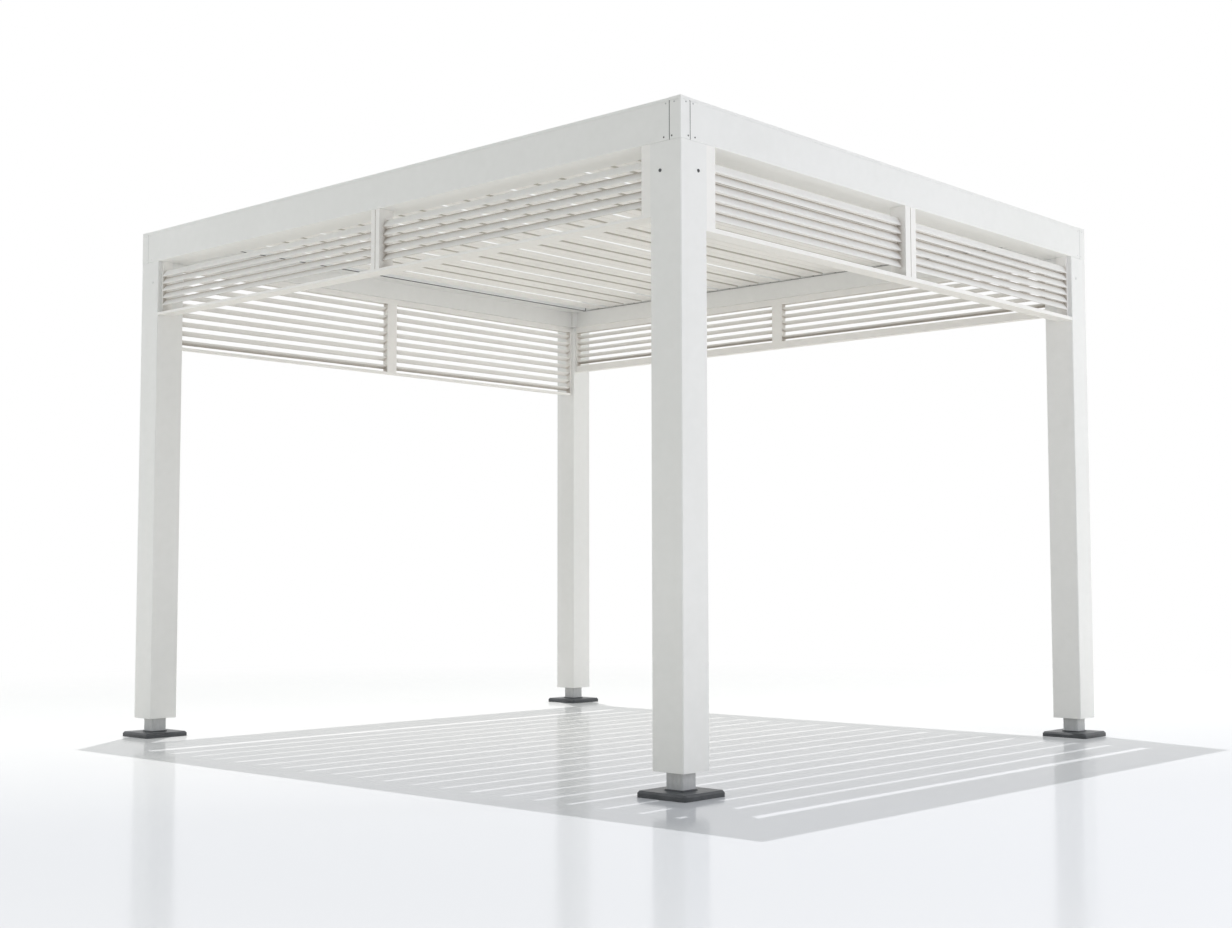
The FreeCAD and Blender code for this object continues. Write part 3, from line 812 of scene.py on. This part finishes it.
# %% Floor
FLOOR_HALF = 60.0
FLOOR_DROP = 0.0005
PALING_X, PALING_Y = 0.504, 0.932
NEAR_EDGE, FAR_EDGE = -3.0, 1.6
SWEEP_START, SWEEP_END = 3.6, 7.0
POLISH_SHARE = 0.32
POLISH_ROUGHNESS = 0.12
KEY_PLACE = Vector((3.74, 5.7, 27.5))

bpy.ops.object.select_all(action="DESELECT")
bpy.ops.mesh.primitive_plane_add(size=2 * FLOOR_HALF, location=(0, 0, -FLOOR_DROP))
floor = bpy.context.active_object
floor.name = "floor"
floor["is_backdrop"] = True

ground = Finish("floor")
seen = ground.node("ShaderNodeLightPath", output="Is Camera Ray")
spot = ground.place()
across = ground.node("ShaderNodeSeparateXYZ", {}, {0: spot}, output="X")
along = ground.node("ShaderNodeSeparateXYZ", {}, {0: spot}, output="Y")
white_out = (across * PALING_X + along * PALING_Y).ramp(NEAR_EDGE, FAR_EDGE)
tone = ground.blend(white_out, (0.785, 0.795, 0.835, 1), (0.88, 0.875, 0.87, 1))
pale = ground.node("ShaderNodeBsdfDiffuse", {}, {"Color": tone})

aside_x, aside_y = across - KEY_PLACE.x, along - KEY_PLACE.y
reach = 1 / (1 + (aside_x * aside_x + aside_y * aside_y) * KEY_PLACE.z ** -2)
key_lost = 1 - reach * reach
far_glow = ground.blend(key_lost, (0.045, 0.05, 0.055, 1), (0.63, 0.63, 0.63, 1))
glow_tone = ground.blend(white_out, (0.0, 0.0, 0.0, 1), far_glow)
glow = ground.node("ShaderNodeEmission", {}, {"Color": glow_tone, "Strength": 1.0})
lit = ground.node("ShaderNodeAddShader", {}, {0: pale, 1: glow})

polish = ground.node("ShaderNodeBsdfAnisotropic", {},
                     {"Color": (1, 1, 1, 1), "Roughness": POLISH_ROUGHNESS})
polished = ground.node("ShaderNodeMixShader", {}, {0: POLISH_SHARE, 1: lit, 2: polish})
far_off = (across * across + along * along).ramp(SWEEP_START ** 2, SWEEP_END ** 2)
plain = ground.node("ShaderNodeEmission", {}, {"Color": (1, 1, 1, 1), "Strength": 1.0})
swept = ground.node("ShaderNodeMixShader", {}, {0: far_off, 1: polished, 2: plain})
bounce = ground.node("ShaderNodeBsdfDiffuse", {}, {"Color": (0.885, 0.858, 0.814, 1)})
mixed = ground.node("ShaderNodeMixShader", {}, {0: seen, 1: bounce, 2: swept})
ground.tree.links.new(mixed.socket, ground.tree.nodes["Material Output"].inputs["Surface"])
floor.data.materials.append(ground.material)
print("floor made")

# %% [markdown]
# The key light is a small lamp high above, beyond the back right corner. It draws the stripes, and
# because it isn't as far as the sun, it spreads the roof's shadow wider than the roof. An even pale
# sky fills the shade. Three softboxes shape the walls, as in a car studio: one far to the left for
# the left wall, one before the front left post and one far to the right, whose light falls off with
# distance and so gives every post its own pair of tones. The camera and shiny faces see a white
# backdrop in place of that sky.

# %% Light
KEY_POWER = 16350
KEY_RADIUS = 0.10
SOFTBOX_SIZE = 3.5
SOFTBOX_AIM = Vector((-0.5, 0.0, 1.4))

key = bpy.data.objects.new("key", bpy.data.lights.new("key", "POINT"))
bpy.context.scene.collection.objects.link(key)
key.data.energy = KEY_POWER
key.data.shadow_soft_size = KEY_RADIUS
key.data.color = (1.0, 0.995, 0.985)
key.location = KEY_PLACE


def softbox(name, place, power, colour):
    """A square soft lamp that looks at the pergola and isn't seen or mirrored itself."""
    lamp = bpy.data.objects.new(name, bpy.data.lights.new(name, "AREA"))
    bpy.context.scene.collection.objects.link(lamp)
    lamp.data.energy = power
    lamp.data.size = SOFTBOX_SIZE
    lamp.data.color = colour
    heading = (SOFTBOX_AIM - Vector(place)).to_track_quat("-Z", "Y").to_matrix().to_4x4()
    lamp.matrix_world = Matrix.Translation(place) @ heading
    lamp.visible_camera = False
    lamp.visible_glossy = False


softbox("left_box", (-8.0, 3.5, 2.0), 102, (0.944, 0.962, 1.0))
softbox("near_box", (-1.0, -7.5, 1.8), 93, (0.87, 0.87, 1.0))
softbox("right_box", (8.0, -7.0, 2.5), 262, (0.985, 1.0, 0.995))

world = bpy.data.worlds.new("sky")
bpy.context.scene.world = world
world.use_nodes = True


class Sky(Finish):
    """The same node helpers on the world's own tree."""

    def __init__(self, tree):
        self.tree = tree


sky = Sky(world.node_tree)
direct = sky.node("ShaderNodeLightPath", output="Is Camera Ray")
mirrored = sky.node("ShaderNodeLightPath", output="Is Glossy Ray")
through = sky.node("ShaderNodeLightPath", output="Is Transmission Ray")
shown = (direct + mirrored + through).clamped()
fill = sky.node("ShaderNodeBackground", {}, {"Color": (0.412, 0.432, 0.43, 1), "Strength": 1.0})
white = sky.node("ShaderNodeBackground", {}, {"Color": (1, 1, 1, 1), "Strength": 1.0})
backdrop = sky.node("ShaderNodeMixShader", {}, {0: shown, 1: fill, 2: white})
sky.tree.links.new(backdrop.socket, sky.tree.nodes["World Output"].inputs["Surface"])
bpy.context.scene.view_settings.view_transform = "Standard"
print("light ready")

# %% Find the size
low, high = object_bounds()
